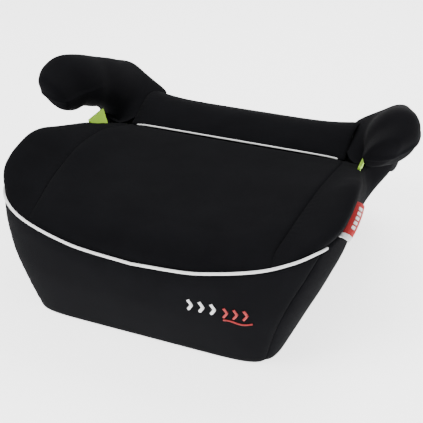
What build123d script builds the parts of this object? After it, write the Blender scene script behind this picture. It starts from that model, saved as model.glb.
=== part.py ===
"""Child booster seat: a ribbed plastic shell with hooked armrests, padded and dressed in a sewn cover.

Millimetres, +Z up, the child faces -Y. The origin is on the ground below the middle of the seat.
"""
from build123d import *
from math import cos, radians, sin
import os

os.makedirs("parts", exist_ok=True)

# ---- driving dimensions ----
REACH = 240.0                # half size of the blocks that cut the seat into pieces
COVER_THICKNESS = 4.0        # fabric with its laminated padding
SHELL_INSET = 5.0            # outer face of the cover to the plastic shell
SHELL_WALL = 3.0
PAD_DROP = 22.0              # top of the cover down to the plastic deck
CLEARANCE = 0.3              # gap between neighbouring pieces
HEM_HEIGHT = 2.0             # lower edge of the cover above the ground
RIM_HEIGHT = 4.0             # lower edge of the shell above the ground
RIB_WALL = 2.5
RIB_PITCH_X = 64.0
RIB_PITCH_Y = 66.0
INNER_SEAM_X = 138.0         # seam between the seat panel and the side bolsters
REAR_SEAM_Y = 89.0           # piped seam between the seat panel and the back roll
SLOT_END_Y = 84.0            # rear end of the belt slot and of the bolsters
GUIDE_THICKNESS = 3.0
GUIDE_FRONT_Y = 36.0
GUIDE_REAR_Y = 70.0
PIPING_SIZE = 4.0
FOOT_RADIUS = 10.0
FOOT_STUD_RADIUS = 2.5
FOOT_STUD_HEIGHT = 9.0
SCREW_RADIUS = 2.0
SCREW_HEAD_RADIUS = 4.0
SCREW_HEAD_HEIGHT = 2.6

# Outline of the cover at rising heights: height, half width, rear half width, front, rear, corner radii.
SECTIONS = (
    (0, 140, 131, 167, 178, 42, 36),
    (40, 158, 146, 180, 184, 62, 48),
    (90, 179, 161, 187, 188, 88, 62),
    (120, 184, 163, 188, 188, 96, 66),
    (170, 184, 163, 188, 188, 96, 66),
)
WAIST_Y = -20.0              # behind this line the outline narrows beside the belt slots
WAIST_RADIUS = 200.0

# Side view of the seat panel's crown and of the bolsters' crown, front to rear: (y, z).
SEAT_CROWN = ((-230, 80), (-190, 108), (-166, 126), (-110, 123), (-20, 114), (89, 105), (118, 120),
              (146, 127), (176, 119), (230, 60))
BOLSTER_CROWN = ((-230, 76), (-188, 108), (-150, 128), (-100, 150), (-58, 157), (-10, 151), (45, 124),
                 (84, 108), (230, 108))
SEAT_ROUNDING = 14.0
BOLSTER_ROUNDING = 30.0

# Outer seam in side view, from the front centre to the belt slot: (y, z).
SEAM_LINE = ((-230, 104), (-186, 109), (-157, 121), (-98, 127), (-40, 130), (20, 126), (80, 107), (230, 102))
SEAM_ROUNDING = 10.0

# Armrest sections from the tip to the root: centre, half height, half thickness, lean, pitch.
ARM_STATIONS = (
    (199.5, 8.0, 168.0, 17.0, 9.0, 34, 0),
    (203.0, 31.0, 165.5, 29.5, 16.0, 34, 0),
    (204.0, 51.0, 162.5, 32.5, 18.5, 33, 4),
    (200.0, 74.0, 160.0, 33.5, 19.5, 31, 11),
    (194.0, 99.0, 152.0, 34.5, 20.0, 30, 26),
    (186.0, 122.0, 136.0, 39.0, 21.0, 29, 48),
    (175.0, 135.0, 113.0, 48.0, 26.0, 26, 68),
    (164.0, 137.0, 84.0, 47.0, 29.0, 20, 84),
)
CORE_SLIMMER_HEIGHT = 14.0   # the plastic core is this much smaller than the armrest, each way
CORE_SLIMMER_THICKNESS = 12.0
CORE_TIP_GAP = 14.0
CORE_FOOT_X = (118, 170)     # conforming foot of the core on the deck
CORE_FOOT_Y = (104, 176)
CORE_FOOT_HEIGHT = 8.0
CORE_SCREWS = ((130, 113), (130, 167))
CORE_SCREW_LENGTH = 31.0
GUIDE_SCREW_LENGTH = 15.0
GUIDE_FOOT_X = (134, 163)
GUIDE_FOOT_HEIGHT = 4.0
GUIDE_BLADE = ((158, 82), (162, 108), (167, 129))
GUIDE_FOOT_ROOM = 94.0       # the foam is cut out round the feet up to these heights
CORE_FOOT_ROOM = 111.0
SEAM_GAP = 0.5               # half of the gap between neighbouring foam pads
GUIDE_SCREWS = ((144, 45), (144, 61))
BOSS_RADIUS = 6.0
BOSS_FLOOR = 74.0
RIB_FLOOR = 62.0
FLANGE_WIDTH = 34.0
FLANGE_THICKNESS = 3.0
FEET = (("front_left", -104, -128), ("front_right", 104, -128), ("rear_left", -97, 142), ("rear_right", 97, 142))
HOOK_SPOTS = ((-98, -55, 0), (-97, 60, 0), (98, -55, 180), (97, 60, 180),
              (-45, -128.5, 90), (45, -128.5, 90), (-45, 139.5, 270), (45, 139.5, 270))
FRONT_SEAM_Y = -146.0        # upright seams between the front skirt and the side skirts
REAR_SKIRT_Y = 150.0
PIPING_END_Y = -120.0
REAR_PIPING_HALF = 127.0
LABEL_SIZE = (1.2, 62.0, 10.0)
LABEL_CENTRE = (189.4, -70.0, 126.5)
LABEL_TILT = -70.0
EMBLEM_X = (56, 122)
EMBLEM_Z = (56, 82)
EMBLEM_THICKNESS = 1.0

SIDES = (("left", -1), ("right", 1))


def outline(section, inset):
    """Closed outline with six rounded corners, drawn in by inset."""
    _, half, rear_half, front, rear, front_radius, rear_radius = section
    half, rear_half, front, rear = half - inset, rear_half - inset, front - inset, rear - inset
    corners = [(-half, WAIST_Y), (-half, -front), (half, -front), (half, WAIST_Y), (rear_half, rear),
               (-rear_half, rear)]
    front_radius, rear_radius = max(front_radius - inset, 4), max(rear_radius - inset, 4)
    radii = [WAIST_RADIUS, front_radius, front_radius, WAIST_RADIUS, rear_radius, rear_radius]
    return FilletPolyline(*corners, radius=radii, close=True)


def body(inset, drop, floor, crown_line=SEAT_CROWN, rounding=SEAT_ROUNDING):
    """The seat's whole volume, drawn in by inset at the sides and by drop at the top."""
    with BuildPart() as volume:
        for section in SECTIONS:
            with BuildSketch(Plane.XY.offset(section[0])):
                with BuildLine():
                    outline(section, inset)
                make_face()
        loft(ruled=True)
        with BuildSketch(Plane.YZ.offset(-REACH)):
            with BuildLine():
                crown = FilletPolyline(*[(y, z - drop) for y, z in crown_line], radius=rounding)
                Polyline(crown @ 1, (REACH, floor), (-REACH, floor), crown @ 0)
            make_face()
        extrude(amount=2 * REACH, mode=Mode.INTERSECT)
    return volume.part


def armrest(side, shrink_height, shrink_thickness, tip_gap, root_gap):
    """Hooked armrest volume: a loft of leaning ellipses from the tip down to the root."""
    stations = [list(station) for station in ARM_STATIONS]
    stations[0][1] += tip_gap
    stations[-1][2] += root_gap
    with BuildPart() as hook:
        for x, y, z, half_height, half_thickness, lean, pitch in stations:
            lean, pitch = radians(lean), radians(pitch)
            across = Vector(side * cos(lean), 0, -sin(lean))
            along = Vector(side * sin(lean) * cos(pitch), sin(pitch), cos(lean) * cos(pitch))
            place = Plane(origin=(side * x, y, z), x_dir=across, z_dir=across.cross(along))
            with BuildSketch(place):
                Ellipse(max(half_thickness - shrink_thickness, 1.5), max(half_height - shrink_height, 3))
        loft()
    return hook.part


def curtain(points, limit):
    """Everything between a line drawn in side view and a height limit, right through the seat."""
    with BuildPart() as wall:
        with BuildSketch(Plane.YZ.offset(-REACH)):
            with BuildLine():
                line = FilletPolyline(*points, radius=SEAM_ROUNDING)
                Polyline(line @ 1, (points[-1][0], limit), (points[0][0], limit), line @ 0)
            make_face()
        extrude(amount=2 * REACH)
    return wall.part


def block(x_range, y_range, z_range=(-10, 260)):
    """Plain box between two limits on each axis, used to cut the cover and the foam into pieces."""
    ranges = (x_range, y_range, z_range)
    centre = [(low + high) / 2 for low, high in ranges]
    with BuildPart() as box:
        with Locations(tuple(centre)):
            Box(*[high - low for low, high in ranges])
    return box.part


def combine(base, keep=(), remove=()):
    """A copy of base cut down to the keep volumes and cleared of the remove volumes."""
    with BuildPart() as piece:
        add(base)
        for volume in keep:
            add(volume, mode=Mode.INTERSECT)
        for volume in remove:
            add(volume, mode=Mode.SUBTRACT)
    return piece.part


def save(piece, name):
    """Label a finished piece and write it as one STEP file."""
    piece.label = name
    export_step(piece, f"parts/{name}.step")
    print(name, round(piece.volume), piece.is_valid, len(piece.solids()), flush=True)


# ---- volumes that the pieces are cut from ----
cover_volume = body(0, 0, HEM_HEIGHT)
shell_volume = body(SHELL_INSET, PAD_DROP, RIM_HEIGHT)
below_seam = curtain(SEAM_LINE, -20)
above_seam = curtain(SEAM_LINE, 260)
core_room = (CORE_SLIMMER_HEIGHT - CLEARANCE, CORE_SLIMMER_THICKNESS - CLEARANCE, CORE_TIP_GAP - CLEARANCE, 0)
core_holes = [armrest(side, *core_room) for _, side in SIDES]
core_screws = [(side * x, y) for _, side in SIDES for x, y in CORE_SCREWS]
guide_screws = [(side * x, y) for _, side in SIDES for x, y in GUIDE_SCREWS]

# ---- plastic shell: walls, deck, ribs, screw bosses and a rim flange ----
with BuildPart() as stiffening:
    with BuildSketch(Plane.XY.offset(RIB_FLOOR)):
        with GridLocations(RIB_PITCH_X, 0, 5, 1):
            Rectangle(RIB_WALL, 2 * REACH)
        with GridLocations(0, RIB_PITCH_Y, 1, 5):
            Rectangle(2 * REACH, RIB_WALL)
    extrude(amount=100)
    with BuildSketch(Plane.XY.offset(BOSS_FLOOR)):
        with Locations(*core_screws, *guide_screws):
            Circle(BOSS_RADIUS)
    extrude(amount=60)
    add(body(SHELL_INSET + SHELL_WALL / 2, PAD_DROP + SHELL_WALL / 2, 0), mode=Mode.INTERSECT)

with BuildPart() as flange:
    add(body(SHELL_INSET + SHELL_WALL / 2, PAD_DROP, RIM_HEIGHT))
    split(bisect_by=Plane.XY.offset(RIM_HEIGHT + FLANGE_THICKNESS), keep=Keep.BOTTOM)
    add(body(SHELL_INSET + FLANGE_WIDTH, PAD_DROP, 0), mode=Mode.SUBTRACT)

with BuildPart() as seat_shell:
    add(shell_volume)
    add(body(SHELL_INSET + SHELL_WALL, PAD_DROP + SHELL_WALL, 0), mode=Mode.SUBTRACT)
    add(stiffening.part)
    add(flange.part)
    with BuildSketch():
        with Locations(*core_screws, *guide_screws):
            Circle(SCREW_RADIUS + CLEARANCE)
        with Locations(*[(x, y) for _, x, y in FEET]):
            Circle(FOOT_STUD_RADIUS + CLEARANCE)
    extrude(amount=2 * REACH, mode=Mode.SUBTRACT)
save(seat_shell.part, "seat_shell")

# ---- armrest cores with their conforming feet, and belt guides ----
foot_layer = body(SHELL_INSET + 1, PAD_DROP - CORE_FOOT_HEIGHT, RIM_HEIGHT)
guide_layer = body(SHELL_INSET + 1, PAD_DROP - GUIDE_FOOT_HEIGHT, RIM_HEIGHT)
guides = []
for name, side in SIDES:
    with BuildPart() as armrest_core:
        add(armrest(side, CORE_SLIMMER_HEIGHT, CORE_SLIMMER_THICKNESS, CORE_TIP_GAP, 0))
        add(combine(foot_layer, (block(sorted(side * x for x in CORE_FOOT_X), CORE_FOOT_Y),)))
        add(shell_volume, mode=Mode.SUBTRACT)
        with BuildSketch():
            with Locations(*[(side * x, y) for x, y in CORE_SCREWS]):
                Circle(SCREW_RADIUS)
        extrude(amount=BOSS_FLOOR + CORE_SCREW_LENGTH, mode=Mode.SUBTRACT)
    save(armrest_core.part, f"armrest_core_{name}")

    with BuildPart() as belt_guide:
        add(guide_layer)
        add(block(sorted(side * x for x in GUIDE_FOOT_X), (GUIDE_FRONT_Y, GUIDE_REAR_Y)), mode=Mode.INTERSECT)
        with BuildSketch(Plane.XZ.offset(-GUIDE_REAR_Y)):
            with BuildLine():
                FilletPolyline(*[(side * x, z) for x, z in GUIDE_BLADE], radius=8)
            trace(line_width=GUIDE_THICKNESS)
        extrude(amount=GUIDE_REAR_Y - GUIDE_FRONT_Y)
        add(shell_volume, mode=Mode.SUBTRACT)
        with BuildSketch():
            with Locations(*[(side * x, y) for x, y in GUIDE_SCREWS]):
                Circle(SCREW_RADIUS)
        extrude(amount=200, mode=Mode.SUBTRACT)
    guides.append(belt_guide.part)
    save(belt_guide.part, f"belt_guide_{name}")

for name, spots, length in (("armrest_screws", core_screws, CORE_SCREW_LENGTH),
                            ("belt_guide_screws", guide_screws, GUIDE_SCREW_LENGTH)):
    with BuildPart() as screws:
        with BuildSketch(Plane.XY.offset(BOSS_FLOOR)):
            with Locations(*spots):
                Circle(SCREW_RADIUS)
        extrude(amount=length)
        with BuildSketch(Plane.XY.offset(BOSS_FLOOR)):
            with Locations(*spots):
                Circle(SCREW_HEAD_RADIUS)
        extrude(amount=-SCREW_HEAD_HEIGHT)
    save(screws.part, name)

# ---- rubber feet, each with a stud through the rim flange ----
for name, x, y in FEET:
    with BuildPart() as foot:
        with BuildSketch():
            with Locations((x, y)):
                Circle(FOOT_RADIUS)
        extrude(amount=RIM_HEIGHT)
        chamfer(foot.edges().group_by(Axis.Z)[0], 1)
        with BuildSketch(Plane.XY.offset(RIM_HEIGHT)):
            with Locations((x, y)):
                Circle(FOOT_STUD_RADIUS)
        extrude(amount=FOOT_STUD_HEIGHT - RIM_HEIGHT)
    save(foot.part, f"foot_{name}")

# ---- foam pads between the deck and the cover ----
deck_room = body(SHELL_INSET, PAD_DROP - CLEARANCE, 0)
pad_size = (SHELL_INSET + 1, COVER_THICKNESS + CLEARANCE, RIM_HEIGHT)
seat_pad = combine(body(*pad_size), remove=(deck_room, *core_holes))
bolster_pad = combine(body(*pad_size, BOLSTER_CROWN, BOLSTER_ROUNDING), remove=(deck_room, *core_holes))
guide_span = (GUIDE_FRONT_Y - 1, GUIDE_REAR_Y + 1)
guide_room = []
foot_room = []
for _, side in SIDES:
    guide_room.append(block(sorted((side * (GUIDE_FOOT_X[0] - 1), side * 200)), guide_span, (-10, GUIDE_FOOT_ROOM)))
    guide_room.append(block(sorted((side * (GUIDE_BLADE[0][0] - 3), side * 200)), guide_span))
    foot_room.append(block(sorted((side * (CORE_FOOT_X[0] - 1), side * 200)),
                           (CORE_FOOT_Y[0] - 1, CORE_FOOT_Y[1] + 1), (-10, CORE_FOOT_ROOM)))
inner_x = INNER_SEAM_X - SEAM_GAP
outer_x = INNER_SEAM_X + SEAM_GAP
seat_span = block((-inner_x, inner_x), (-REACH, REAR_SEAM_Y - SEAM_GAP))
roll_span = block((-inner_x, inner_x), (REAR_SEAM_Y + SEAM_GAP, REACH))
save(combine(seat_pad, (seat_span,), guide_room), "seat_foam")
save(combine(seat_pad, (roll_span,), foot_room), "back_roll_foam")
for name, side in SIDES:
    bolster_span = block(sorted((side * (outer_x + COVER_THICKNESS), side * REACH)),
                         (-REACH, SLOT_END_Y - COVER_THICKNESS))
    save(combine(bolster_pad, (bolster_span,), guide_room), f"bolster_foam_{name}")

# ---- armrest foam and sleeves, above the seat's own cover ----
body_room = body(-CLEARANCE, -CLEARANCE, 0)
for index, (name, side) in enumerate(SIDES):
    outer = armrest(side, 0, 0, 0, 0)
    inner = armrest(side, *[COVER_THICKNESS] * 4)
    pad = armrest(side, *[COVER_THICKNESS + CLEARANCE] * 4)
    save(combine(pad, remove=(core_holes[index], body_room)), f"armrest_foam_{name}")
    save(combine(outer, remove=(inner, body_room)), f"armrest_sleeve_{name}")

# ---- sewn cover panels ----
lining = (COVER_THICKNESS, COVER_THICKNESS, 0)
cover_skin = combine(cover_volume, remove=(body(*lining), *core_holes))
wall_room = combine(below_seam, remove=(body(COVER_THICKNESS, -80, 0),))
skirt_skin = combine(cover_skin, (wall_room,))
crown_skin = combine(cover_skin, remove=(wall_room,))
bolster_volume = combine(body(0, 0, HEM_HEIGHT, BOLSTER_CROWN, BOLSTER_ROUNDING), (above_seam,))
bolster_lining = body(*lining, BOLSTER_CROWN, BOLSTER_ROUNDING)
save(combine(skirt_skin, (block((-REACH, REACH), (-REACH, FRONT_SEAM_Y)),)), "cover_front_skirt")
save(combine(skirt_skin, (block((-REACH, REACH), (REAR_SKIRT_Y, REACH)),)), "cover_rear_skirt")
save(combine(crown_skin, (block((-INNER_SEAM_X, INNER_SEAM_X), (-REACH, REAR_SEAM_Y)),)), "cover_seat_panel")
save(combine(crown_skin, (block((-INNER_SEAM_X, INNER_SEAM_X), (REAR_SEAM_Y, REACH)),)), "cover_back_roll")
for name, side in SIDES:
    half = sorted((0, side * REACH))
    wing = sorted((side * INNER_SEAM_X, side * REACH))
    hollow = combine(bolster_lining, (block(sorted((side * (INNER_SEAM_X + COVER_THICKNESS), side * REACH)),
                                            (-REACH, SLOT_END_Y - COVER_THICKNESS)),))
    save(combine(skirt_skin, (block(half, (FRONT_SEAM_Y, REAR_SKIRT_Y)),), guides), f"cover_side_skirt_{name}")
    save(combine(bolster_volume, (block(wing, (-REACH, SLOT_END_Y)),), (hollow, *guides)), f"cover_bolster_{name}")
    save(combine(crown_skin, (block(wing, (SLOT_END_Y, REACH)),)), f"cover_rear_corner_{name}")

# ---- piping strips, flag label and front emblem ----
half_piping = PIPING_SIZE / 2
seam_band = combine(curtain([(y, z + half_piping) for y, z in SEAM_LINE], -20),
                    remove=(curtain([(y, z - half_piping) for y, z in SEAM_LINE], -20),))
front_span = block((-REACH, REACH), (-REACH, PIPING_END_Y))
save(combine(body(-half_piping, 0, HEM_HEIGHT), (seam_band, front_span), (cover_volume,)), "piping_front")
rear_line = block((-REAR_PIPING_HALF, REAR_PIPING_HALF), (REAR_SEAM_Y - half_piping, REAR_SEAM_Y + half_piping))
save(combine(body(0, -half_piping, HEM_HEIGHT), (rear_line,), (cover_volume,)), "piping_rear")
with BuildPart() as side_label:
    with Locations(Location(LABEL_CENTRE, (0, LABEL_TILT, 0))):
        Box(*LABEL_SIZE)
save(side_label.part, "side_label")
save(combine(body(-EMBLEM_THICKNESS, 0, HEM_HEIGHT), (block(EMBLEM_X, (-REACH, 0), EMBLEM_Z),), (cover_volume,)),
     "front_emblem")

# ---- hem under the rim: turned fabric band, elastic and hooks ----
def rim_ring(outer_inset, inner_inset, low, high):
    """Flat ring that follows the hem between two insets."""
    with BuildPart() as ring:
        for inset, mode in ((outer_inset, Mode.ADD), (inner_inset, Mode.SUBTRACT)):
            with BuildSketch(Plane.XY.offset(low)):
                with BuildLine():
                    outline(SECTIONS[0], inset)
                make_face()
            extrude(amount=high - low, mode=mode)
    return ring.part


save(rim_ring(COVER_THICKNESS, 11, HEM_HEIGHT, RIM_HEIGHT - CLEARANCE), "cover_hem_band")
save(rim_ring(11.3, 15, HEM_HEIGHT, RIM_HEIGHT - CLEARANCE), "hem_elastic")
with BuildPart() as cover_hooks:
    for x, y, turn in HOOK_SPOTS:
        place = Plane(origin=(x, y, 0), x_dir=(cos(radians(turn)), sin(radians(turn)), 0), z_dir=(0, 0, 1))
        profile = Plane(origin=place.origin, x_dir=place.x_dir, z_dir=place.x_dir.cross(Vector(0, 0, 1)))
        with BuildSketch(profile):
            with BuildLine():
                FilletPolyline((-23, 2.8), (2.2, 2.8), (2.2, 8.6), (-8, 8.6), radius=1.2)
            trace(line_width=1.4)
        extrude(amount=7, both=True)
save(cover_hooks.part, "cover_hooks")
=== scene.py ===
"""Looks of a padded child booster seat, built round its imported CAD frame.

Shape tables are in millimetres in the row frame (+X right, +Y rear, +Z up); meshes are made in metres.
"""
import math

import bmesh
import bpy
import numpy as np
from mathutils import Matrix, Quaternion, Vector


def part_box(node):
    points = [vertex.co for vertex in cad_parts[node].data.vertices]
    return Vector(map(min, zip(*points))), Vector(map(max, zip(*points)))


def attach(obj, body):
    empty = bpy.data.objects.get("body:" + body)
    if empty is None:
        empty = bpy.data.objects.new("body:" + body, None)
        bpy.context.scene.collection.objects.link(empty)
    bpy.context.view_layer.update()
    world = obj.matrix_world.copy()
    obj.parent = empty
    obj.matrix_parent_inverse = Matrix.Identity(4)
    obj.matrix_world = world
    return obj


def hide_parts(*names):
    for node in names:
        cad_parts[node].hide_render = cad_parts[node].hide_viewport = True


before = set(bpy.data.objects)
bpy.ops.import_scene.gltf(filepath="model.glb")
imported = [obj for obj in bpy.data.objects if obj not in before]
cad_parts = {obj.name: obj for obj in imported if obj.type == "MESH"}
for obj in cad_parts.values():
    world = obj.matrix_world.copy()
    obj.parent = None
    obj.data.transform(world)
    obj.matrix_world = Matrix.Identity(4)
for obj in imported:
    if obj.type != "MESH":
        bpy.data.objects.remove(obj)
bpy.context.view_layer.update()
MM = 0.001
BODY = "root"


def span(node, axis):
    """Lowest and highest coordinate of a CAD node on one axis, in millimetres."""
    low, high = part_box(node)
    return low[axis] / MM, high[axis] / MM


# ---- sizes taken from the frame ----
HEM_Z = span("cover_front_skirt", 2)[0]
FRONT = -span("cover_front_skirt", 1)[0]
REAR = span("cover_rear_skirt", 1)[1]
HALF_WIDTH = span("cover_side_skirt_right", 0)[1]
SEAM_X = span("cover_seat_panel", 0)[1]
REAR_PIPING_Y = sum(span("piping_rear", 1)) / 2

# ---- skirt: height share, half width, front and rear shares of the sizes above, corner power ----
LEVELS = np.array([
    (0.00, 0.761, 0.905, 0.947, 9.5),
    (0.30, 0.853, 0.953, 0.979, 6.8),
    (0.60, 0.946, 0.989, 0.995, 5.1),
    (0.85, 1.003, 1.000, 1.000, 4.2),
    (1.00, 0.998, 0.991, 0.989, 4.15),
])
# Outer seam height by distance along the outline: from the front centre, then from the side centre.
SEAM_FRONT = np.array([(0, 104), (57, 108), (90, 114), (108, 117.5), (130, 121.5), (155, 126), (180, 128),
                       (198, 127), (226, 127), (284, 131), (330, 129)])
SEAM_REAR = np.array([(0, 129), (20, 127), (50, 117), (80, 107), (104, 113), (130, 118), (160, 116),
                      (200, 108), (240, 103), (330, 101)])
# Outward flare of the seam under the armrests, by distance behind the side centre.
FLARE = np.array([(0, 0), (74, 0), (84, 4), (94, 17), (104, 28), (118, 36), (135, 40), (155, 38),
                  (175, 31), (195, 18), (215, 6), (240, 0), (330, 0)])
FLARE_REARWARD = 0.35        # share of the flare that goes to the rear, so that the back stays flat
# Share of the width left beside the belt slots, by distance behind the middle.
WAIST = np.array([(-190, 1), (-98, 1), (-60, 0.992), (-36, 0.98), (0, 0.947), (22, 0.925), (50, 0.910),
                  (84, 0.912), (190, 0.92)])

# Inner seam between seat panel and bolster, front to rear (right side).
INNER_SEAM = np.array([(131.0, -172.0, 118.0), (131.5, -150, 127), (134, -120, 131.5), (136.0, -90, 133.5),
                       (140.0, -32, 134.5), (142.5, 25, 127.0), (141.0, 62, 115.5), (138.5, 86, 107.5)])
# The left inner seam is sewn nearer the middle at its front end.
LEFT_SHIFT = np.array([(-186, -16.5), (-170, -15), (-150, -9), (-120, -5.5), (-90, -3), (-60, 0), (100, 0)])
# Height of the seat panel along its middle line, from the front seam to the rear piping.
SEAT_LINE = np.array([(-186, 109), (-181, 117), (-171, 123.5), (-156, 126.5), (-130, 126.5), (-100, 124),
                      (-60, 119.5), (-10, 115.5), (50, 110.5), (82, 106.5), (89, 105)])
# Height of the back roll along the middle line and beside the armrest creases.
ROLL_LINE = np.array([(89, 105), (94, 109), (104, 115), (118, 120.5), (131, 122.5), (145, 121),
                      (158, 117), (170, 111.5), (180, 106), (186, 101)])
ROLL_EDGE = np.array([(89, 106.5), (104, 112), (120, 119.5), (142, 125.5), (160, 123.5), (174, 116),
                      (186, 105)])
# Bolster height above the line between its seams, by share of its length.
BOLSTER_RISE = np.array([(0, 0), (0.1, 2), (0.2, 9), (0.3, 17), (0.4, 23), (0.48, 24), (0.56, 20.5),
                         (0.64, 14), (0.72, 8.5), (0.8, 4.5), (0.88, 1.8), (1, 0.5)])
BOLSTER_BULGE = 9.0          # how far the bolster overhangs its outer seam

# Armrest sections from the tip to the root: centre, half height, half thickness, lean, pitch (right side).
ARM = np.array([
    (194, 9, 168, 25, 13, 43, -2),
    (198, 30, 166, 31, 20, 43, 0),
    (196, 50, 167, 33, 24, 41, 4),
    (192, 73, 160, 33, 25, 39, 11),
    (189, 99, 149, 32, 24, 38, 26),
    (183, 123, 135, 39, 25, 37, 48),
    (175, 144, 119, 51, 25, 29, 67),
])
# Where the sleeve meets the seat, counted round from the outer side over the rear to the front.
ARM_ROOT = np.array([(191, 130, 82), (188, 167, 76), (163, 186, 80), (132.5, 185, 112),
                     (136.5, 138, 113), (137.5, 105, 109.5), (153, 85, 106), (186, 99, 107)])
ARM_TIP = np.array([-1.0, -9.5, 0.8])        # how far the rounded tip reaches past the first section
ARM_TUCK = np.array([0.3, 0.3, 0.05])        # share by which the hidden root draws in
ARM_TUCK_DEPTH = 5.0
# The left pad sits a little higher than the right one, as sewn pads do.
ARM_SHIFT = 3.5
# The seam across the front of the head: height at a place, slope, depth, half width and how far back it goes.
GROOVE_X, GROOVE_Z, GROOVE_SLOPE, GROOVE_DEPTH, GROOVE_WIDTH, GROOVE_END = 162, 156.5, 0.24, 1.5, 2.0, 78


# ---- small curve tools ----
def ease(x, table, column=1):
    """Smooth monotone interpolation in a two-column table."""
    xs, ys = table[:, 0].astype(float), table[:, column].astype(float)
    x = np.clip(x, xs[0], xs[-1])
    h = np.diff(xs)
    slope = np.diff(ys) / h
    tangent = np.zeros(len(xs))
    for k in range(1, len(xs) - 1):
        if slope[k - 1] * slope[k] > 0:
            a, b = 2 * h[k] + h[k - 1], h[k] + 2 * h[k - 1]
            tangent[k] = (a + b) / (a / slope[k - 1] + b / slope[k])
    tangent[0], tangent[-1] = slope[0], slope[-1]
    k = np.clip(np.searchsorted(xs, x, side="right") - 1, 0, len(h) - 1)
    t = (x - xs[k]) / h[k]
    return ((2 * t**3 - 3 * t**2 + 1) * ys[k] + (t**3 - 2 * t**2 + t) * h[k] * tangent[k]
            + (3 * t**2 - 2 * t**3) * ys[k + 1] + (t**3 - t**2) * h[k] * tangent[k + 1])


def resample(points, count, close=False):
    """Points spread evenly along a smooth curve through the given points."""
    p = np.asarray(points, float)
    if close:
        p = np.vstack([p[-1], p, p[0], p[1]])
    else:
        p = np.vstack([2 * p[0] - p[1], p, 2 * p[-1] - p[-2]])
    dense = []
    t = np.linspace(0, 1, 24, endpoint=False)[:, None]
    for a, b, c, d in zip(p, p[1:], p[2:], p[3:]):
        bend = (2 * a - 5 * b + 4 * c - d) * t**2 + (3 * b - a - 3 * c + d) * t**3
        dense.append(0.5 * (2 * b + (c - a) * t + bend))
    dense = np.vstack(dense + [p[-2][None]])
    run = np.concatenate([[0], np.cumsum(np.linalg.norm(np.diff(dense, axis=0), axis=1))])
    at = np.linspace(0, run[-1], count, endpoint=not close)
    return np.stack([np.interp(at, run, dense[:, k]) for k in range(dense.shape[1])], 1)


def step(t):
    """Smooth step from 0 to 1."""
    t = np.clip(t, 0, 1)
    return t * t * (3 - 2 * t)


# ---- the skirt's outline and the outer seam ----
def level_curve(share):
    """One level of the skirt in plan: dense points of the right side, from front to rear."""
    width, front, rear, power = (ease(np.array([share]), LEVELS, k)[0] for k in range(1, 5))
    angle = np.radians(np.linspace(0, 180, 721))
    c, s = np.cos(angle), np.sin(angle)
    y = -np.sign(c) * np.abs(c) ** (2 / power) * np.where(c > 0, FRONT * front, REAR * rear)
    narrow = 1 - (1 - ease(y, WAIST)) * step((share - 0.4) / 0.55)
    x = HALF_WIDTH * width * narrow * np.abs(s) ** (2 / power)
    return np.stack([x, y], 1)


def run_length(points):
    """Distance along a line of points from its first one."""
    return np.concatenate([[0], np.cumsum(np.linalg.norm(np.diff(points, axis=0), axis=1))])


MIDDLE = 360                 # index of the side centre in a level curve
QUARTER, AROUND = run_length(level_curve(1.0))[[MIDDLE, -1]]  # seam lengths to the side and rear centres


def along(curve, run, at):
    """Points of a curve at distances along it."""
    return np.stack([np.interp(at, run, curve[:, k]) for k in range(2)], 1)


def outline_at(distance, share):
    """Plan points at distances (mm, measured on the seam, signed: right positive) along one level."""
    here = level_curve(share)
    run = run_length(here)
    side = np.abs(distance)
    front, rear = run[MIDDLE], run[-1] - run[MIDDLE]
    scaled = np.where(side < QUARTER, side / QUARTER * front,
                      front + (side - QUARTER) / (AROUND - QUARTER) * rear)
    result = along(here, run, scaled)
    ahead = along(here, run, scaled + 1) - along(here, run, scaled - 1)
    outward = np.stack([ahead[:, 1], -ahead[:, 0]], 1)
    outward /= np.maximum(np.linalg.norm(outward, axis=1, keepdims=True), 1e-6)
    flare = ease(side - QUARTER, FLARE) * step((share - 0.35) / 0.65) * (side > QUARTER)
    result += outward * flare[:, None] * (1, FLARE_REARWARD)
    result[:, 0] *= np.where(distance < 0, -1, 1)
    return result


def seam_height(distance):
    """Height of the outer seam at signed distances along it."""
    side = np.abs(distance)
    return np.where(side < QUARTER, ease(side, SEAM_FRONT), ease(side - QUARTER, SEAM_REAR))


def outer_seam(distance):
    """Points of the outer seam at signed distances from the front centre."""
    distance = np.atleast_1d(np.asarray(distance, float))
    return np.column_stack([outline_at(distance, 1.0), seam_height(distance)])


def skirt_grid(start, end, columns, rows=30):
    """Skirt surface, hem first, between two seams given as functions of the height share."""
    shares = np.linspace(0, 1, rows)
    grid = np.zeros((columns, rows, 3))
    for k, share in enumerate(shares):
        distance = np.linspace(start(share), end(share), columns)
        grid[:, k, :2] = outline_at(distance, share)
        grid[:, k, 2] = HEM_Z + share * (seam_height(distance) - HEM_Z)
    return grid


# ---- top panels ----
INNER_START = {1: 136.0, -1: 119.0}  # where the inner seams leave the front seam, by side
SLOT_DISTANCE = QUARTER + 80         # rear end of the bolster, along the seam


def inner_seam_points(side, count):
    """The inner seam of one side from the front seam to the rear piping, as if on the right."""
    points = INNER_SEAM.copy()
    if side < 0:
        points[:, 0] += ease(points[:, 1], LEFT_SHIFT)
    points[0] = outer_seam([INNER_START[side]])[0]
    return resample(points, count)


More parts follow.
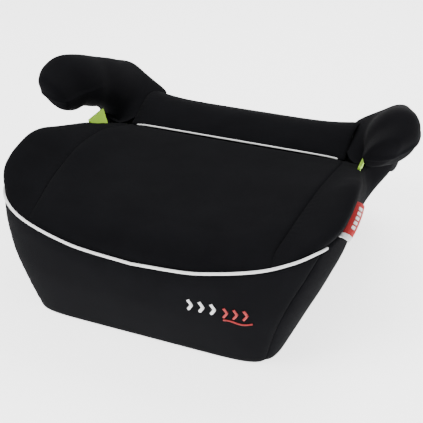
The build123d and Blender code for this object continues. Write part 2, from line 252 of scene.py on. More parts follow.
def seat_grid(columns=61, rows=81):
    """Dished seat panel between the inner seams, from the front seam to the rear piping."""
    across = np.linspace(-1, 1, columns)
    left, right = inner_seam_points(-1, rows), inner_seam_points(1, rows)
    edge = np.where(across[:, None, None] < 0, left, right)
    front = outer_seam(across * np.where(across < 0, INNER_START[-1], INNER_START[1]))
    share = np.linspace(0, 1, rows)
    middle = resample(np.column_stack([np.zeros(len(SEAT_LINE)), SEAT_LINE]), rows)
    grid = np.zeros((columns, rows, 3))
    weight = np.abs(across)[:, None]
    grid[:, :, 0] = across[:, None] * edge[:, :, 0]
    grid[:, :, 1] = middle[None, :, 1] + (edge[:, :, 1] - middle[None, :, 1]) * weight**3
    grid[:, :, 2] = middle[None, :, 2] + (edge[:, :, 2] - middle[None, :, 2]) * weight**2.8
    correction = (front - grid[:, 0])[:, None, :] * ((1 - share) ** 6)[None, :, None]
    return grid + correction


def bolster_grid(side, columns=41, rows=111):
    """Side bolster: a crescent roll between the inner seam and the outer seam."""
    inner = inner_seam_points(side, rows)
    outer = outer_seam(np.linspace(INNER_START[side], SLOT_DISTANCE, rows))
    share = np.linspace(0, 1, rows)
    rise = ease(share, BOLSTER_RISE)
    bulge = BOLSTER_BULGE * step((share - 0.13) / 0.2) * step((1 - share) / 0.45)
    direction = outer - inner
    direction[:, 2] = 0
    direction /= np.maximum(np.linalg.norm(direction, axis=1, keepdims=True), 1e-6)
    grid = np.zeros((columns, rows, 3))
    for k, t in enumerate(np.linspace(0, 1, columns)):
        grid[k] = inner + (outer - inner) * (0.35 * t + 0.65 * math.sin(math.pi / 2 * t))
        grid[k, :, 2] += rise * math.sin(math.pi * t**1.7) ** 0.85
        grid[k] += direction * (bulge * math.sin(math.pi * t**2.6))[:, None]
    grid[:, :, 0] *= side
    return grid if side > 0 else grid[::-1]


def roll_grid(columns=61, rows=45):
    """Back roll between the armrest creases, from the rear piping over the top to the rear seam."""
    across = np.linspace(-1, 1, columns)
    line = resample(np.column_stack([np.zeros(len(ROLL_LINE)), ROLL_LINE]), rows)
    edge_z = ease(line[:, 1], ROLL_EDGE)
    half = SEAM_X + 0.5
    weight = np.abs(across)[:, None] ** 5
    grid = np.zeros((columns, rows, 3))
    grid[:, :, 0] = across[:, None] * half
    grid[:, :, 1] = line[None, :, 1]
    grid[:, :, 2] = line[None, :, 2] + (edge_z - line[:, 2])[None, :] * weight
    return grid


def arm_ring(angle, x, y, z, height, thickness, lean, pitch):
    """One elliptical section of an armrest, leaning outwards and pitched back."""
    lean, pitch = math.radians(lean), math.radians(pitch)
    outward = np.array([math.cos(lean), 0, -math.sin(lean)])
    up = np.array([math.sin(lean) * math.cos(pitch), math.sin(pitch), math.cos(lean) * math.cos(pitch)])
    across, over = np.outer(np.cos(angle), outward), np.outer(np.sin(angle), up)
    return np.array([x, y, z]) + across * thickness + over * height


def arm_grid(side, around=96, rows=110):
    """Closed sleeve from the rounded tip along the hook to its flared root on the seat."""
    angle = np.linspace(0, 2 * np.pi, around, endpoint=False)
    rings = [arm_ring(angle, *section) for section in ARM]
    first, centre = rings[0], rings[0].mean(0)
    caps = [centre + (first - centre) * share + ARM_TIP * math.sqrt(1 - share**2)
            for share in (0.03, 0.3, 0.6, 0.85)]
    root = resample(ARM_ROOT, around, close=True)
    tucked = root + (root.mean(0) - root) * ARM_TUCK - np.array([0, 0, ARM_TUCK_DEPTH])
    columns = np.array(caps + rings + [root, tucked])
    grid = np.stack([resample(columns[:, k], rows) for k in range(around)], 0)
    offset = grid[:, :, 2] - (GROOVE_Z + GROOVE_SLOPE * (grid[:, :, 0] - GROOVE_X))
    groove = GROOVE_DEPTH * np.exp(-((offset / GROOVE_WIDTH) ** 2)) * step((GROOVE_END - grid[:, :, 1]) / 25)
    grid -= normals_of(grid, True) * groove[:, :, None]
    grid[:, :, 2] -= side * ARM_SHIFT * step((grid[:, :, 2] - 118) / 50)
    grid[:, :, 0] *= side
    return grid if side > 0 else grid[::-1]


# ---- meshes from grids ----
def normals_of(grid, close=False):
    """Unit normals of a grid of points."""
    if close:
        du = np.roll(grid, -1, 0) - np.roll(grid, 1, 0)
    else:
        du = np.gradient(grid, axis=0)
    dv = np.gradient(grid, axis=1)
    n = np.cross(du, dv)
    return n / np.maximum(np.linalg.norm(n, axis=2, keepdims=True), 1e-9)


def edge_distance(grid, axis, end):
    """Distance of every grid point from one edge, measured over the surface."""
    steps = np.linalg.norm(np.diff(grid, axis=axis), axis=2)
    zero = np.zeros_like(steps.take([0], axis))
    run = np.concatenate([zero, np.cumsum(steps, axis)], axis)
    return run if end == 0 else run.take([-1], axis) - run


def tuck(grid, edges):
    """Pull panel edges inwards so that neighbouring panels meet in a sewn valley with small puckers.

    edges is a list of (axis, end, depth, width)."""
    drop = np.zeros(grid.shape[:2])
    for axis, end, depth, width in edges:
        distance = edge_distance(grid, axis, end)
        run = run_length(grid.take(0 if end == 0 else -1, axis))
        run = run[None, :] if axis == 0 else run[:, None]
        pucker = np.sin(run * 0.82 + 2.1 * np.sin(run / 29.0)) * np.exp(-((distance - 4.0) / 5.0) ** 2)
        depth = np.broadcast_to(depth, grid.shape[:2])
        drop = np.maximum(drop, depth * np.exp(-((distance / width) ** 1.4))) + 0.16 * depth * pucker
    return grid - normals_of(grid) * drop[:, :, None]


CLOTH_FRAMES = 20
FOLD_CELLS = 15              # folds wider than this many cells are left out


def smooth(values, cells, close):
    """Running average of a grid of vectors over some cells in both directions."""
    kernel = np.hanning(cells + 2)[1:-1]
    kernel /= kernel.sum()
    for axis in (0, 1):
        mode = "wrap" if close and axis == 0 else "edge"
        pad = [(cells // 2, cells // 2) if k == axis else (0, 0) for k in range(3)]
        padded = np.pad(values, pad, mode=mode)
        values = np.apply_along_axis(lambda row: np.convolve(row, kernel, "valid"), axis, padded)
    return values


def inflate(piece, shape, close, pinned, pressure, most):
    """Short cloth simulation with the pinned vertices held.

    Only local folds are kept, not the overall drift, and no point moves further than most (mm)."""
    group = piece.vertex_groups.new(name="sewn")
    group.add([int(index) for index in pinned], 1.0, "REPLACE")
    cloth = piece.modifiers.new("cloth", "CLOTH")
    setup = cloth.settings
    setup.quality, setup.mass = 5, 0.25
    setup.tension_stiffness, setup.compression_stiffness, setup.shear_stiffness = 12, 12, 6
    setup.bending_stiffness = 0.6
    setup.vertex_group_mass = "sewn"
    setup.use_pressure = True
    setup.uniform_pressure_force = pressure
    setup.effector_weights.gravity = 0
    cloth.collision_settings.use_collision = False
    cloth.point_cache.frame_start, cloth.point_cache.frame_end = 1, CLOTH_FRAMES
    scene = bpy.context.scene
    for tick in range(1, CLOTH_FRAMES + 1):
        scene.frame_set(tick)
    result = piece.evaluated_get(bpy.context.evaluated_depsgraph_get()).data
    count = len(piece.data.vertices)
    before, after = np.zeros(count * 3), np.zeros(count * 3)
    piece.data.vertices.foreach_get("co", before)
    result.vertices.foreach_get("co", after)
    moved = (after - before).reshape(*shape, 3)
    moved = (moved - smooth(moved, FOLD_CELLS, close)).reshape(-1, 3)
    length = np.linalg.norm(moved, axis=1, keepdims=True)
    moved *= np.minimum(1, most * MM / np.maximum(length, 1e-9))
    piece.modifiers.remove(cloth)
    piece.vertex_groups.remove(group)
    piece.data.vertices.foreach_set("co", before + moved.ravel())
    piece.data.update()
    scene.frame_set(1)


def link(name, mesh, material):
    """A smooth object for a mesh, in the scene, with one material."""
    mesh.polygons.foreach_set("use_smooth", [True] * len(mesh.polygons))
    mesh.materials.append(material)
    piece = bpy.data.objects.new(name, mesh)
    bpy.context.collection.objects.link(piece)
    return piece


def mesh_piece(name, grid, material, close=False, thickness=2.0, cap=False, soft=None):
    """A smooth quad mesh through the grid, with a metric UV map, thickened inwards.

    soft is (pressure, most) for a piece that is blown up by a cloth simulation with its borders held."""
    columns, rows = grid.shape[:2]
    loops = columns if close else columns - 1
    faces, corners = [], []
    u, v = run_length(grid[:, rows // 2]) * MM, run_length(grid[columns // 2]) * MM
    u_next = np.append(u, u[-1] + (u[1] - u[0]))
    for i in range(loops):
        j = (i + 1) % columns
        for k in range(rows - 1):
            faces.append([i * rows + k, j * rows + k, j * rows + k + 1, i * rows + k + 1])
            corners.extend([(u[i], v[k]), (u_next[i + 1], v[k]), (u_next[i + 1], v[k + 1]), (u[i], v[k + 1])])
    if cap:
        faces.append([i * rows for i in range(columns)][::-1])
        corners.extend([(0, 0)] * columns)
    mesh = bpy.data.meshes.new(name)
    mesh.from_pydata((grid.reshape(-1, 3) * MM).tolist(), [], faces)
    layer = mesh.uv_layers.new(name="fabric")
    layer.data.foreach_set("uv", np.array(corners, float).ravel())
    piece = link(name, mesh, material)
    if soft:
        index = np.arange(columns * rows).reshape(columns, rows)
        border = [index[:, -3:]] if close else [index[:2], index[-2:], index[:, :2], index[:, -2:]]
        pinned = np.unique(np.concatenate([part.ravel() for part in border]))
        inflate(piece, (columns, rows), close, pinned, *soft)
    if thickness:
        solid = piece.modifiers.new("thickness", "SOLIDIFY")
        solid.thickness = thickness * MM
        solid.offset = -1
    return piece


def tube_piece(name, points, radius, material, sides=12):
    """A round cord through the points, with closed rounded ends."""
    p = np.asarray(points, float)
    tangent = np.gradient(p, axis=0)
    tangent /= np.linalg.norm(tangent, axis=1, keepdims=True)
    side = np.cross(tangent, (0, 0, 1))
    side /= np.maximum(np.linalg.norm(side, axis=1, keepdims=True), 1e-9)
    up = np.cross(side, tangent)
    angle = np.linspace(0, 2 * np.pi, sides, endpoint=False)
    size = np.full(len(p), radius)
    size[0] = size[-1] = radius * 0.35
    grid = np.array([p + (side * math.cos(a) + up * math.sin(a)) * size[:, None] for a in angle])
    piece = mesh_piece(name, grid, material, close=True, thickness=0, cap=True)
    mesh = piece.data
    last = [i * len(p) + len(p) - 1 for i in range(sides)]
    work = bmesh.new()
    work.from_mesh(mesh)
    work.verts.ensure_lookup_table()
    work.faces.new([work.verts[i] for i in last])
    work.to_mesh(mesh)
    work.free()
    return piece


# ---- procedural materials ----
class Finish:
    """A node material under construction."""

    def __init__(self, name, colour, roughness=0.8, metallic=0.0):
        self.material = bpy.data.materials.new(name)
        self.material.use_nodes = True
        self.tree = self.material.node_tree
        self.shader = self.tree.nodes["Principled BSDF"]
        self.shader.inputs["Base Color"].default_value = (*colour, 1)
        self.shader.inputs["Roughness"].default_value = roughness
        self.shader.inputs["Metallic"].default_value = metallic
        self.heights = []

    def node(self, kind, **settings):
        """A new node with the given properties, and its numbered or named inputs set or linked."""
        made = self.tree.nodes.new(kind)
        inputs = settings.pop("inputs", {})
        for key, value in settings.items():
            setattr(made, key, value)
        for key, value in inputs.items():
            if isinstance(value, bpy.types.NodeSocket):
                self.tree.links.new(value, made.inputs[key])
            else:
                made.inputs[key].default_value = value
        return made

    def math(self, operation, a, b=0.0, c=0.0):
        """The output of a math node."""
        return self.node("ShaderNodeMath", operation=operation, inputs={0: a, 1: b, 2: c}).outputs[0]

    def noise(self, scale, detail=3.0, rough=0.5, coords="Object"):
        """Noise at a scale in cycles per metre."""
        place = self.node("ShaderNodeTexCoord").outputs[coords]
        return self.node("ShaderNodeTexNoise", inputs={"Vector": place, "Scale": scale, "Detail": detail,
                                                       "Roughness": rough}).outputs["Fac"]

    def blend(self, factor, low, high, start=0.0, end=1.0):
        """Sends a blend of two colours to the base colour."""
        ramp = self.node("ShaderNodeValToRGB", inputs={0: factor})
        ramp.color_ramp.elements[0].position, ramp.color_ramp.elements[1].position = start, end
        ramp.color_ramp.elements[0].color, ramp.color_ramp.elements[1].color = (*low, 1), (*high, 1)
        self.tree.links.new(ramp.outputs[0], self.shader.inputs["Base Color"])

    def roughen(self, factor, low, high):
        """Roughness between two values."""
        part = self.node("ShaderNodeMapRange", inputs={0: factor, 3: low, 4: high})
        self.tree.links.new(part.outputs[0], self.shader.inputs["Roughness"])

    def bump(self, *layers):
        """Layers of (height, distance in metres, strength)."""
        normal = None
        for height, distance, strength in layers:
            inputs = {"Height": height, "Distance": distance, "Strength": strength}
            if normal is not None:
                inputs["Normal"] = normal
            normal = self.node("ShaderNodeBump", inputs=inputs).outputs[0]
        self.tree.links.new(normal, self.shader.inputs["Normal"])

    def knit(self, wale, course):
        """Height of a fine jersey knit over the metric UV map, for loops of this size in metres."""
        place = self.node("ShaderNodeUVMap", uv_map="fabric").outputs[0]
        split = self.node("ShaderNodeSeparateXYZ", inputs={0: place})
        u = self.math("MULTIPLY", split.outputs[0], math.pi / wale)
        v = self.math("MULTIPLY", split.outputs[1], math.pi / course)
        lean = self.math("MULTIPLY", self.math("COSINE", self.math("MULTIPLY", u, 2.0)), 0.9)
        ribs = self.math("ABSOLUTE", self.math("SINE", u))
        loops = self.math("ABSOLUTE", self.math("SINE", self.math("ADD", v, lean)))
        return self.math("MULTIPLY", ribs, self.math("ADD", self.math("MULTIPLY", loops, 0.7), 0.3))

    def twill(self, pitch):
        """Height of a woven twill over the metric UV map."""
        place = self.node("ShaderNodeUVMap", uv_map="fabric").outputs[0]
        split = self.node("ShaderNodeSeparateXYZ", inputs={0: place})
        u = self.math("MULTIPLY", split.outputs[0], 2 * math.pi / pitch)
        v = self.math("MULTIPLY", split.outputs[1], 2 * math.pi / pitch)
        diagonal = self.math("SINE", self.math("ADD", u, v))
        cross = self.math("SINE", self.math("MULTIPLY", v, 2.0))
        return self.math("ADD", self.math("MULTIPLY", diagonal, 0.35), self.math("MULTIPLY", cross, 0.15))


def jersey(name, low, high, sheen=0.012):
    """Soft stretch knit with slight tone drift and a soft sheen."""
    finish = Finish(name, high, 0.9)
    loops = finish.knit(0.0011, 0.0014)
    drift = finish.noise(22, 4, 0.6)
    fuzz = finish.noise(1400, 2, 0.7)
    tone = finish.math("ADD", finish.math("MULTIPLY", loops, 0.45), finish.math("MULTIPLY", drift, 0.55))
    finish.blend(tone, low, high, 0.1, 0.95)
    finish.roughen(drift, 0.80, 0.96)
    finish.bump((loops, 0.00022, 0.55), (fuzz, 0.00012, 0.25), (finish.noise(70, 2, 0.5), 0.0008, 0.18))
    finish.shader.inputs["Sheen Weight"].default_value = sheen
    finish.shader.inputs["Sheen Roughness"].default_value = 0.45
    finish.shader.inputs["Specular IOR Level"].default_value = 0.3
    finish.shader.inputs["IOR"].default_value = 1.08
    return finish.material


def webbing(name, low, high, pitch=0.0012, rough=0.7):
    """Woven narrow fabric: piping, elastic, label ribbon."""
    finish = Finish(name, high, rough)
    weave = finish.twill(pitch)
    drift = finish.noise(90, 3, 0.6)
    finish.blend(finish.math("ADD", finish.math("MULTIPLY", weave, 0.5), drift), low, high, 0.15, 0.75)
    finish.roughen(drift, rough - 0.1, min(rough + 0.15, 1))
    finish.bump((weave, 0.00018, 0.5), (finish.noise(2500, 1), 0.0001, 0.2))
    finish.shader.inputs["Sheen Weight"].default_value = 0.15
    finish.shader.inputs["Specular IOR Level"].default_value = 0.3
    return finish.material


def thread(name, low, high):
    """Glossy embroidery thread."""
    finish = Finish(name, high, 0.45)
    drift = finish.noise(900, 2, 0.6)
    finish.blend(drift, low, high, 0.3, 0.7)
    finish.roughen(drift, 0.35, 0.6)
    finish.bump((finish.noise(4000, 1), 0.00008, 0.4),)
    finish.shader.inputs["Sheen Weight"].default_value = 0.2
    return finish.material


def plastic(name, low, high, rough=0.45, grain=1.0):
    """Moulded plastic: fine spark texture, tone drift, scuffed lighter roughness patches."""
    finish = Finish(name, high, rough)
    drift = finish.noise(35, 4, 0.65)
    spark = finish.noise(1800, 2, 0.6)
    finish.blend(drift, low, high, 0.3, 0.7)
    finish.roughen(finish.noise(120, 3, 0.7), rough - 0.08, rough + 0.18)
    finish.bump((spark, 0.00010 * grain, 0.4), (finish.noise(60, 2), 0.0003, 0.12))
    return finish.material


def steel(name):
    """Zinc plated screw steel."""
    finish = Finish(name, (0.58, 0.58, 0.6), 0.35, 1.0)
    drift = finish.noise(400, 3, 0.7)
    finish.blend(drift, (0.42, 0.42, 0.44), (0.68, 0.68, 0.7), 0.3, 0.7)
    finish.roughen(drift, 0.25, 0.5)
    finish.bump((finish.noise(3000, 1), 0.00005, 0.4),)
    return finish.material


BLACK = jersey("black_jersey", (0.0026, 0.0026, 0.0031), (0.0076, 0.0077, 0.0089))
LINING = jersey("black_lining", (0.005, 0.005, 0.006), (0.012, 0.012, 0.014), 0.012)
PIPING = webbing("white_piping", (0.72, 0.72, 0.72), (0.93, 0.93, 0.92), 0.0009)
RED_RIBBON = webbing("red_ribbon", (0.34, 0.003, 0.005), (0.50, 0.006, 0.009), 0.0008)
WHITE_RIBBON = webbing("white_ribbon", (0.75, 0.75, 0.75), (0.92, 0.92, 0.92), 0.0008)
ELASTIC = webbing("elastic_braid", (0.010, 0.010, 0.011), (0.030, 0.030, 0.032), 0.002)
WHITE_THREAD = thread("white_thread", (0.75, 0.75, 0.76), (0.95, 0.95, 0.95))
RED_THREAD = thread("red_thread", (0.34, 0.003, 0.005), (0.50, 0.006, 0.009))
SHELL = plastic("shell_plastic", (0.014, 0.014, 0.015), (0.024, 0.024, 0.026), 0.5, 1.6)
GREEN = plastic("green_plastic", (0.30, 0.58, 0.035), (0.42, 0.72, 0.06), 0.34)
HOOK = plastic("hook_plastic", (0.02, 0.02, 0.021), (0.035, 0.035, 0.037), 0.4)
RUBBER = plastic("foot_rubber", (0.012, 0.012, 0.012), (0.03, 0.03, 0.03), 0.75, 2.0)
STEEL = steel("screw_steel")

for node, finish in {
    "seat_shell": SHELL, "armrest_core_left": SHELL, "armrest_core_right": SHELL, "belt_guide_left": GREEN,
    "belt_guide_right": GREEN, "armrest_screws": STEEL, "belt_guide_screws": STEEL, "foot_front_left": RUBBER,
    "foot_front_right": RUBBER, "foot_rear_left": RUBBER, "foot_rear_right": RUBBER, "cover_hooks": HOOK,
}.items():
    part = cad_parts[node]
    part.data.materials.clear()
    part.data.materials.append(finish)


def settle(piece, nodes=()):
    """Fixes a piece to the seat, and hides the CAD nodes it stands for."""
    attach(piece, BODY)
    if nodes:
        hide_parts(*nodes)
    return piece


# ---- cover ----
SIDES = ((1, "right"), (-1, "left"))
VALLEY = 3.2                 # reach of a seam valley


def front_corner(share):
    """Seam between the front skirt and a side skirt: it sweeps back as it rises."""
    return 146.0 + 48.0 * share**3.2


def rear_corner(share):
    """Seam between a side skirt and the rear skirt."""
    return QUARTER + 196.0 + 6.0 * share


def make_skirts():
    """Front, rear and side skirts, from the hem to the outer seam."""
    front = skirt_grid(lambda share: -front_corner(share), front_corner, 151)
    front = tuck(front, [(1, 1, 1.6, VALLEY), (0, 0, 1.3, VALLEY), (0, 1, 1.3, VALLEY)])
    settle(mesh_piece("front_skirt", front, BLACK), ("cover_front_skirt",))
    rear = np.concatenate([skirt_grid(rear_corner, lambda share: AROUND, 61)[:-1],
                           skirt_grid(lambda share: -AROUND, lambda share: -rear_corner(share), 61)])
    rear = tuck(rear, [(1, 1, 1.4, VALLEY), (0, 0, 1.2, VALLEY), (0, 1, 1.2, VALLEY)])
    settle(mesh_piece("rear_skirt", rear, BLACK), ("cover_rear_skirt",))
    for side, label in SIDES:
        grid = skirt_grid(front_corner, rear_corner, 181)
        grid = tuck(grid, [(1, 1, 1.6, VALLEY), (0, 0, 1.3, VALLEY), (0, 1, 1.2, VALLEY)])
        grid[:, :, 0] *= side
        piece = mesh_piece(f"side_skirt_{label}", grid if side > 0 else grid[::-1], BLACK)
        settle(piece, (f"cover_side_skirt_{label}",))


def corner_fade(grid):
    """Strength of the inner seam's valley: none where the seam meets the front piping."""
    return step((edge_distance(grid, 1, 0) - 8) / 60)


def make_seat():
    """Dished seat panel with its foam."""
    seat = seat_grid()
    valley = 2.0 * corner_fade(seat)
    seat = tuck(seat, [(1, 0, 1.8, VALLEY), (0, 0, valley, VALLEY), (0, 1, valley, VALLEY),
                       (1, 1, 2.0, VALLEY)])
    piece = mesh_piece("seat_panel", seat, BLACK, soft=(0.25, 3))
    settle(piece, ("cover_seat_panel", "seat_foam"))


def make_bolsters():
    """Left and right bolsters with their foam."""
    for side, label in SIDES:
        grid = bolster_grid(side)
        inner, outer = (0, 1) if side > 0 else (1, 0)
        valley = 2.0 * corner_fade(grid)
        grid = tuck(grid, [(0, inner, valley, VALLEY), (0, outer, 1.6, VALLEY), (1, 1, 1.5, VALLEY)])
        piece = mesh_piece(f"bolster_{label}", grid, BLACK, soft=(0.3, 3))
        settle(piece, (f"cover_bolster_{label}", f"bolster_foam_{label}"))


def make_back_roll():
    """Back roll with its foam."""
    roll = tuck(roll_grid(), [(1, 0, 2.0, VALLEY), (1, 1, 1.4, VALLEY), (0, 0, 2.2, 5), (0, 1, 2.2, 5)])
    piece = mesh_piece("back_roll", roll, BLACK, soft=(0.3, 3))
    settle(piece, ("cover_back_roll", "back_roll_foam"))


def make_armrests():
    """Padded sleeves of both armrests."""
    for side, label in SIDES:
        piece = mesh_piece(f"armrest_pad_{label}", arm_grid(side), BLACK, close=True, thickness=0, cap=True,
                           soft=(1.0, 2))
        inside = (f"armrest_sleeve_{label}", f"armrest_foam_{label}", f"cover_rear_corner_{label}")
        settle(piece, inside)


# ---- piping ----
PIPING_REACH = 199.0         # end of the front piping, along the seam from the front centre
PIPING_RADIUS, REAR_PIPING_RADIUS = 1.4, 0.9


def make_piping():
    """Corded piping in the front seam and along the foot of the back roll."""
    line = outer_seam(np.linspace(-PIPING_REACH, PIPING_REACH, 240))
    tangent = np.gradient(line, axis=0)
    outward = np.stack([tangent[:, 1], -tangent[:, 0], np.zeros(len(line))], 1)
    outward /= np.linalg.norm(outward, axis=1, keepdims=True)
    line += outward * 0.6 + np.array([0, 0, 0.3])
    settle(tube_piece("front_piping", line, PIPING_RADIUS, PIPING), ("piping_front",))
    half = span("piping_rear", 0)[1] + 5
    level = sum(span("piping_rear", 2)) / 2
    x = np.linspace(-half, half, 160)
    dip = (np.abs(x) / half) ** 14
    line = np.column_stack([x, REAR_PIPING_Y + 2.5 * dip, level - 3.0 * dip])
    settle(tube_piece("rear_piping", line, REAR_PIPING_RADIUS, PIPING), ("piping_rear",))


# ---- side label: a folded ribbon sewn into the outer seam, standing out from it ----
LABEL_START, LABEL_END = QUARTER - 103, QUARTER - 40
LABEL_WIDTH, LABEL_CURL, STRIP = 10.5, 1.35, 8.0
BAR_COUNT, BAR_LENGTH = 5, 5.0


def label_grid(start, end, columns, rows=12, inner=0.0, outer=1.0, lift=0.0):
    """Ribbon standing out of the outer seam between two distances along it, drooping a little."""
    distance = np.linspace(start, end, columns)
    top = outer_seam(distance)
    grid = np.zeros((columns, rows, 3))
    for k, share in enumerate(np.linspace(inner, outer, rows)):
        grid[:, k, 0] = top[:, 0] - 1.0 + LABEL_WIDTH * math.sin(share * LABEL_CURL) / math.sin(LABEL_CURL)
        grid[:, k, 1] = top[:, 1]
        grid[:, k, 2] = top[:, 2] + lift - 0.5 - 5.0 * share**2 + 0.5 * np.sin(distance / 9.0) * share
    return grid


def make_label():
    """Red ribbon with a white end strip and blank bars."""
    ribbon = label_grid(LABEL_START + STRIP, LABEL_END, 60)
    settle(mesh_piece("side_label", ribbon, RED_RIBBON, thickness=-1.0), ("side_label",))
    strip = label_grid(LABEL_START, LABEL_START + STRIP, 10)
    settle(mesh_piece("label_end_strip", strip, WHITE_RIBBON, thickness=-1.0))
    starts = np.linspace(LABEL_START + STRIP + 9, LABEL_END - 14, BAR_COUNT)
    for index, start in enumerate(starts):
        bar = label_grid(start, start + BAR_LENGTH, 8, rows=6, inner=0.42, outer=0.74, lift=0.35)
        settle(mesh_piece(f"label_bar_{index + 1}", bar, WHITE_RIBBON, thickness=0.5))


# ---- embroidery: raised satin stitches on the front skirt ----
STITCH_ARCH = np.array([0.1, 0.55, 0.85, 1.0, 0.85, 0.55, 0.1])  # rise across one stitch
STITCH_SIDES = 6


def on_front(x, z):
    """Points on the front skirt at this x and height."""
    distance = x.copy()
    for _ in range(4):
        share = (z - HEM_Z) / (seam_height(distance) - HEM_Z)
        here = np.array([outline_at(np.array([d]), s)[0] for d, s in zip(distance, share)])
        distance += x - here[:, 0]
    return np.column_stack([here, z])


def satin(path, width, pitch=0.75):
    """Stitches across a stroke: a list of short arched thread lines in (x, z)."""
    path = np.asarray(path, float)
    run = run_length(path)
    at = np.arange(pitch / 2, run[-1], pitch)
    ahead = along(path, run, at + 0.6) - along(path, run, at - 0.6)
    ahead /= np.linalg.norm(ahead, axis=1, keepdims=True)
    across = np.stack([-ahead[:, 1], ahead[:, 0]], 1)
    t = np.linspace(-0.5, 0.5, len(STITCH_ARCH))
    return [c + a * width * t[:, None] for c, a in zip(along(path, run, at), across)]


def embroider(name, strokes, width, material, nodes=()):
    """One mesh of satin stitches for all the strokes."""
    vertices, faces = [], []
    out = np.array([0, -1.0, 0])
    for stitch in [stitch for stroke in strokes for stitch in satin(stroke, width)]:
        base = on_front(stitch[:, 0], stitch[:, 1])
        ahead = base[-1] - base[0]
        side = np.cross(ahead / np.linalg.norm(ahead), out)
        first = len(vertices)
        for point, rise in zip(base, STITCH_ARCH):
            for a in np.arange(STITCH_SIDES) * 2 * math.pi / STITCH_SIDES:
                lift = 0.25 + 1.0 * rise + 0.34 * math.sin(a)
                vertices.append(point + side * 0.42 * math.cos(a) + out * lift)
        for ring in range(len(STITCH_ARCH) - 1):
            for k in range(STITCH_SIDES):
                a = first + ring * STITCH_SIDES + k
                b = first + ring * STITCH_SIDES + (k + 1) % STITCH_SIDES
                faces.append((a, b, b + STITCH_SIDES, a + STITCH_SIDES))
    mesh = bpy.data.meshes.new(name)
    mesh.from_pydata((np.array(vertices) * MM).tolist(), [], faces)
    settle(link(name, mesh, material), nodes)


def chevron(x, z, size):
    """A plain angle mark opening to the left."""
    return [(x, z + size), (x + size * 0.62, z), (x, z - size)]


def make_emblem():
    """White and red angle marks over a red wave."""
    white = [chevron(x, 72, 6.2) for x in (58, 69.5, 81)]
    red = [chevron(x, 70.5, 5.6) for x in (93.5, 103, 112.5)]
    wave = [(x, 60 + 1.5 * math.sin((x - 90) / 4.6)) for x in np.linspace(93, 121, 60)]
    embroider("emblem_white_chevrons", white, 3.0, WHITE_THREAD, ("front_emblem",))
    embroider("emblem_red_chevrons", red, 2.3, RED_THREAD)
    embroider("emblem_red_wave", [wave], 1.5, RED_THREAD)


# ---- underside: gathered hem band and elastic ----
HEM_DEPTH, HEM_PITCH = 18.0, 11.0            # width of the band and length of one gather
ELASTIC_HALF_WIDTH, ELASTIC_HALF_HEIGHT = 2.6, 0.9


def make_hem():
    """Band turned in under the hem, and the elastic that gathers its inner edge."""
    around = np.linspace(-AROUND, AROUND, 721)[:-1]
    edge = outline_at(around, 0.0)
    ahead = np.roll(edge, -1, 0) - np.roll(edge, 1, 0)
    inward = np.stack([-ahead[:, 1], ahead[:, 0]], 1)
    inward /= np.maximum(np.linalg.norm(inward, axis=1, keepdims=True), 1e-6)
    inward *= np.where(np.sum(inward * edge, 1) > 0, -1, 1)[:, None]
    gather = np.sin(around * 2 * math.pi / HEM_PITCH + 1.6 * np.sin(around / 37.0))
    shares = np.linspace(0, 1, 12)
    hem = np.zeros((len(around), len(shares), 3))
    for k, share in enumerate(shares):
        hem[:, k, :2] = edge + inward * (HEM_DEPTH * share)
        hem[:, k, 2] = HEM_Z + 1.2 + 0.56 * step(share * 1.2) * gather + 0.6 * share
    band = mesh_piece("hem_band", hem, LINING, close=True, thickness=-0.8)
    settle(band, ("cover_hem_band",))
    ring = np.column_stack([edge + inward * (HEM_DEPTH + 0.5), HEM_Z + 1.8 + 0.5 * gather])
    tube = []
    for a in np.linspace(0, 2 * np.pi, 10, endpoint=False):
        rise = np.full(len(around), math.sin(a) * ELASTIC_HALF_HEIGHT)
        tube.append(ring + np.column_stack([inward * (math.cos(a) * ELASTIC_HALF_WIDTH), rise]))
    tube = np.array(tube)
    tube = np.concatenate([tube, tube[:, :1]], 1)
    elastic = mesh_piece("hem_elastic", tube, ELASTIC, close=True, thickness=0)
    settle(elastic, ("hem_elastic",))


make_skirts()
make_seat()
make_bolsters()
make_back_roll()
make_armrests()
make_piping()
make_label()
make_emblem()
make_hem()


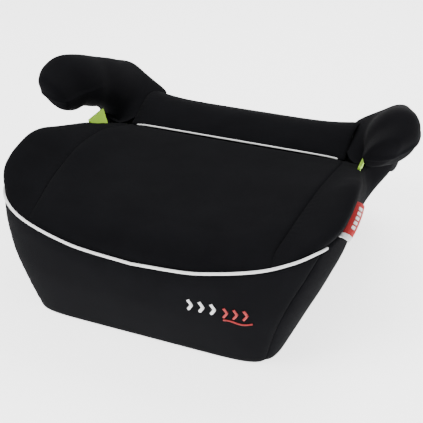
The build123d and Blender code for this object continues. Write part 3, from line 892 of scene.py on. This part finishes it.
# ---- studio ----
def make_floor():
    """Pale plain floor that glows a little."""
    mesh = bpy.data.meshes.new("floor")
    mesh.from_pydata([(-6, -6, 0), (6, -6, 0), (6, 6, 0), (-6, 6, 0)], [], [(0, 1, 2, 3)])
    floor = bpy.data.objects.new("floor", mesh)
    bpy.context.collection.objects.link(floor)
    paint = Finish("studio_floor", (0.93, 0.93, 0.93), 0.7)
    paint.blend(paint.noise(3, 2), (0.92, 0.92, 0.92), (0.94, 0.94, 0.94))
    paint.shader.inputs["Emission Color"].default_value = (1, 1, 1, 1)
    paint.shader.inputs["Emission Strength"].default_value = 2.4
    mesh.materials.append(paint.material)


def make_world():
    """Even white surroundings."""
    world = bpy.data.worlds.new("studio")
    world.use_nodes = True
    background = world.node_tree.nodes["Background"]
    background.inputs[0].default_value = (1, 1, 1, 1)
    background.inputs[1].default_value = 0.75
    bpy.context.scene.world = world


def softbox(name, place, aim, size, watts):
    """A square area light at a place, aimed at a point."""
    data = bpy.data.lights.new(name, "AREA")
    data.shape, data.size, data.energy = "SQUARE", size, watts
    lamp = bpy.data.objects.new(name, data)
    lamp.location = place
    direction = Vector(aim) - lamp.location
    lamp.rotation_euler = direction.to_track_quat("-Z", "Y").to_euler()
    bpy.context.collection.objects.link(lamp)


def make_camera():
    """Camera above the front right corner."""
    lens = bpy.data.cameras.new("camera")
    lens.lens, lens.sensor_width = 68.6, 36.0
    lens.shift_x, lens.shift_y = -0.0125, -0.0030
    lens.clip_start = 0.01
    camera = bpy.data.objects.new("camera", lens)
    camera.location = (0.3074, -0.7375, 0.5467)
    aim = (Vector((0.018, -0.0102, 0.067)) - camera.location).to_track_quat("-Z", "Y")
    roll = Quaternion((0, 0, 1), math.radians(-0.3))
    camera.rotation_euler = (aim @ roll).to_euler()
    bpy.context.collection.objects.link(camera)
    bpy.context.scene.camera = camera


make_floor()
make_world()
softbox("key", (-0.9, -0.9, 1.6), (0, 0, 0.08), 0.9, 32)
softbox("top", (0.2, 0.9, 1.5), (0, 0, 0.1), 0.9, 26)
softbox("fill", (1.3, -0.7, 0.9), (0, 0, 0.08), 1.0, 10)
make_camera()
